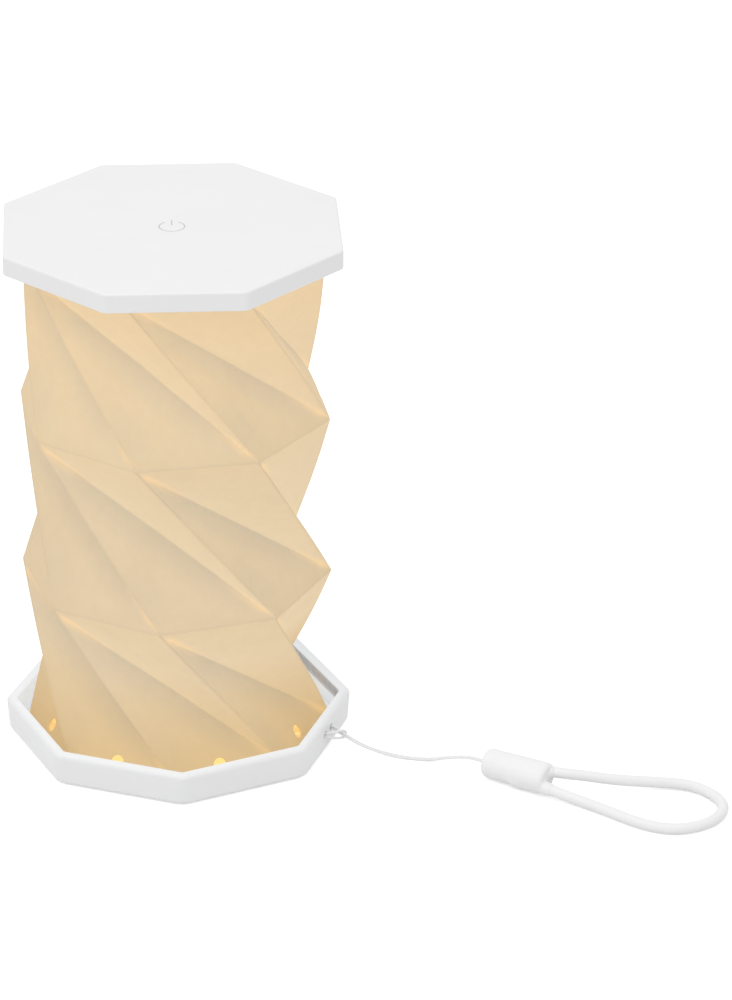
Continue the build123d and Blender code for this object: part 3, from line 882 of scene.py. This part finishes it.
# A point given from the lug's middle: out of the tray, along its wall and up
def lugPoint(out, along, up):
    angle = radians(strap["lugAngle"])
    reach = (strap["trayRadius"] - strap["lugDrop"]) * cos(halfSide) + out
    x = reach * cos(angle) - along * sin(angle)
    y = reach * sin(angle) + along * cos(angle)
    return (x, y, strap["lugHeight"] + up - strap["hitchDroop"] * max(out, 0))


# A point given along the sleeve from its front, aside to the left and up from its axis
def sleevePoint(along, aside, up):
    heading = radians(strap["sleeveHeading"])
    startX, startY = strap["sleeveStart"]
    x = startX + along * cos(heading) - aside * sin(heading)
    y = startY + along * sin(heading) + aside * cos(heading)
    return (x, y, strap["sleeveRadius"] + up)


# A point on the lower root's line
def lowerRootPoint(along):
    start, end = (Vector(place) for place in strap["lowerRoot"])
    return sleevePoint(*start.lerp(end, (along - start.x) / (end.x - start.x)))


def strandPoints(side):
    reach = side * strap["cordSpacing"] / mm / 2
    lead = strap["cordLead"]
    middle = [sleevePoint(-lead, 0, 0), *strandRoute, lugPoint(*hitchRoute[0])]
    beside = []
    for before, here, after in zip(middle, middle[1:], middle[2:]):
        dx = after[0] - before[0]
        dy = after[1] - before[1]
        share = reach / hypot(dx, dy)
        beside.append((here[0] + dy * share, here[1] - dx * share, here[2]))
    return [sleevePoint(strap["boreDepth"], reach, 0), sleevePoint(-lead, reach, 0), *beside]


def cordPoints():
    upper = [lugPoint(*p) for p in hitchRoute]
    lower = [lugPoint(out, along, -up) for out, along, up in reversed(hitchRoute)]
    return [*strandPoints(1), *upper, *lower, *reversed(strandPoints(-1))]


def loopPoints():
    length = strap["sleeveLength"]
    start = sleevePoint(length - strap["socketDepth"], *strap["upperSocket"])
    mouth = sleevePoint(length + strap["upperExit"], *strap["upperSocket"])
    rootEnd = strap["lowerRoot"][1][0]
    back = lowerRootPoint(rootEnd + strap["lowerExit"])
    return [start, mouth, *loopRoute, back, lowerRootPoint(rootEnd - strap["socketDepth"])]


def makeCord(name, points, diameter, material):
    curve = bpy.data.curves.new(name, "CURVE")
    curve.dimensions = "3D"
    spline = curve.splines.new("NURBS")
    spline.points.add(len(points) - 1)
    for knot, place in zip(spline.points, points):
        knot.co = (*(Vector(place) * mm), 1)
    spline.order_u = 3
    spline.use_endpoint_u = True
    curve.resolution_u = 16
    curve.bevel_depth = diameter / 2
    curve.bevel_resolution = 6
    curve.use_fill_caps = True
    curve.materials.append(material)
    piece = bpy.data.objects.new(name, curve)
    bpy.context.collection.objects.link(piece)
    return piece


# Bridges rings into a closed form. Each has a centre, an axis and its half width and height
def loft(bm, rings):
    loops = []
    for centre, axis, wide, tall in rings:
        turn = axis.to_track_quat("Z", "Y").to_matrix().to_4x4()
        place = Matrix.Translation(centre) @ turn @ Matrix.Diagonal((wide, tall, 1, 1))
        ring = bmesh.ops.create_circle(bm, segments=strap["ringPoints"], radius=mm, matrix=place)
        loops.append(list({e for v in ring["verts"] for e in v.link_edges}))
    for first, second in zip(loops, loops[1:]):
        bmesh.ops.bridge_loops(bm, edges=first + second)
    bmesh.ops.holes_fill(bm, edges=loops[0] + loops[-1])


# A tapered root that one end of the loop leaves
def makeRoot(bm, start, end):
    first, last = (Vector(sleevePoint(*place)) * mm for place in (start, end))
    thick, thin = strap["rootRadii"]
    steps = strap["rootSteps"]
    rings = []
    for step in range(steps + 1):
        size = thick + (thin - thick) * step / steps
        rings.append((first.lerp(last, step / steps), last - first, size, size))
    loft(bm, rings)


# The sleeve's outline: how far along, half the width and half the height
def sleeveOutline():
    radius = strap["sleeveRadius"]
    wide = strap["sleeveRearWidth"]
    length = strap["sleeveLength"]
    front, rear, drop = strap["frontRound"], strap["rearRound"], strap["rearDrop"]
    rounds, bodies = strap["roundSteps"], strap["bodySteps"]
    outline = []
    for step in range(rounds + 1):
        angle = step * pi / (2 * rounds)
        less = front * (1 - sin(angle))
        outline.append((front * (1 - cos(angle)), radius - less, radius - less))
    for step in range(1, bodies + 1):
        along = front + (length - front - rear) * step / bodies
        outline.append((along, radius + (wide - radius) * step / bodies, radius))
    for step in range(1, rounds + 1):
        angle = step * pi / (2 * rounds)
        less = drop * (1 - cos(angle))
        outline.append((length - rear + rear * sin(angle), wide - less, radius - less))
    return outline


def makeSleeve():
    heading = radians(strap["sleeveHeading"])
    axis = Vector((cos(heading), sin(heading), 0))
    rings = []
    for along, wide, tall in sleeveOutline():
        rings.append((Vector(sleevePoint(along, 0, 0)) * mm, axis, wide, tall))
    bm = bmesh.new()
    loft(bm, rings)
    makeRoot(bm, *strap["lowerRoot"])
    makeRoot(bm, *strap["upperRoot"])
    bmesh.ops.recalc_face_normals(bm, faces=bm.faces)
    piece = showMesh("strap_sleeve_moulding", bm, [rubber])
    remesh = piece.modifiers.new("join", "REMESH")
    remesh.mode = "VOXEL"
    remesh.voxel_size = strap["voxel"]
    soften = piece.modifiers.new("soften", "SMOOTH")
    soften.factor = 0.5
    soften.iterations = strap["softening"]
    settle(piece)
    turn = axis.to_track_quat("Z", "Y").to_matrix().to_4x4()
    depth = strap["boreCutter"]
    middle = Vector(sleevePoint(strap["boreDepth"] - depth / 2, 0, 0)) * mm
    cutAway(piece, [(Matrix.Translation(middle) @ turn, strap["boreRadius"] * mm, depth * mm)])
    smooth(piece)
    return piece


rubber = rubberFinish("strapRubber")
cordLength = 0.162
braid = braidFinish("braidedCord", cordLength)
thinCord = makeCord("strap_thin_cord", cordPoints(), strap["cordDiameter"], braid)
rubberLoop = makeCord("strap_rubber_loop", loopPoints(), strap["loopDiameter"], rubber)
sleeve = makeSleeve()
strapPieces = (
    (thinCord, "strap_cord", "white_cord"),
    (sleeve, "strap_sleeve", "strap_rubber"),
    (rubberLoop, "strap_loop", "strap_rubber"),
)
for piece, solid, slot in strapPieces:
    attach(piece, "tray")
    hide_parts(solid)
Vector(cordPoints()[0]) * mm
Vector(loopPoints()[0]) * mm
print("strap laid")


# Studio: a pale floor, a white surround and one soft lamp

studio = {
    "floorColour": 0.80,
    "floorDim": 0.98,        # how much of it the floor's specks keep
    "floorSpecks": 300,
    "floorLift": 0.5,        # added for the camera only, so that the floor reads white
    "floorReach": 6,
    "floorDrop": 0.05 * mm,
    "ambient": 0.77,
    "keyPower": 7.4,
    "keySize": 1.4,
    "keyPlace": (-0.34, -0.62, 1.55),
    "keyAim": (0, 0, 0.08),
}


def seenByEye(graph):
    path = graph.add("ShaderNodeLightPath", out="Is Camera Ray")
    glossy = graph.add("ShaderNodeLightPath", out="Is Glossy Ray")
    through = graph.add("ShaderNodeLightPath", out="Is Transmission Ray")
    return path.most(glossy).most(through)


def makeFloor():
    bm = bmesh.new()
    bmesh.ops.create_grid(bm, x_segments=1, y_segments=1, size=studio["floorReach"],
                          matrix=Matrix.Translation((0, 0, -studio["floorDrop"])))
    finish = Finish("floorWhite")
    level = studio["floorColour"]
    speck = finish.noise(finish.place(), studio["floorSpecks"], 2, 0.5)
    finish.surface(
        Base_Color=finish.mix(speck, grey(level), grey(level * studio["floorDim"])),
        Roughness=0.9,
        Specular_IOR_Level=0.0,
        Emission_Color=finish.mix(seenByEye(finish), grey(0.0), grey(studio["floorLift"])),
        Emission_Strength=1.0,
    )
    showMesh("floor", bm, [finish.material])


def makeSurround():
    world = bpy.data.worlds.new("surround")
    world.use_nodes = True
    graph = Graph(world.node_tree)
    colour = graph.mix(seenByEye(graph), grey(studio["ambient"]), grey(1.0))
    graph.plug(world.node_tree.nodes["Background"].inputs["Color"], colour)
    bpy.context.scene.world = world


def makeKeyLamp():
    place = Vector(studio["keyPlace"])
    data = bpy.data.lights.new("keyLamp", "AREA")
    data.energy = studio["keyPower"]
    data.size = studio["keySize"]
    lamp = bpy.data.objects.new("keyLamp", data)
    bpy.context.collection.objects.link(lamp)
    lamp.location = place
    lamp.rotation_euler = (Vector(studio["keyAim"]) - place).to_track_quat("-Z", "Y").to_euler()


makeFloor()
makeSurround()
makeKeyLamp()
bpy.context.scene.view_settings.view_transform = "Standard"
print("studio lit")
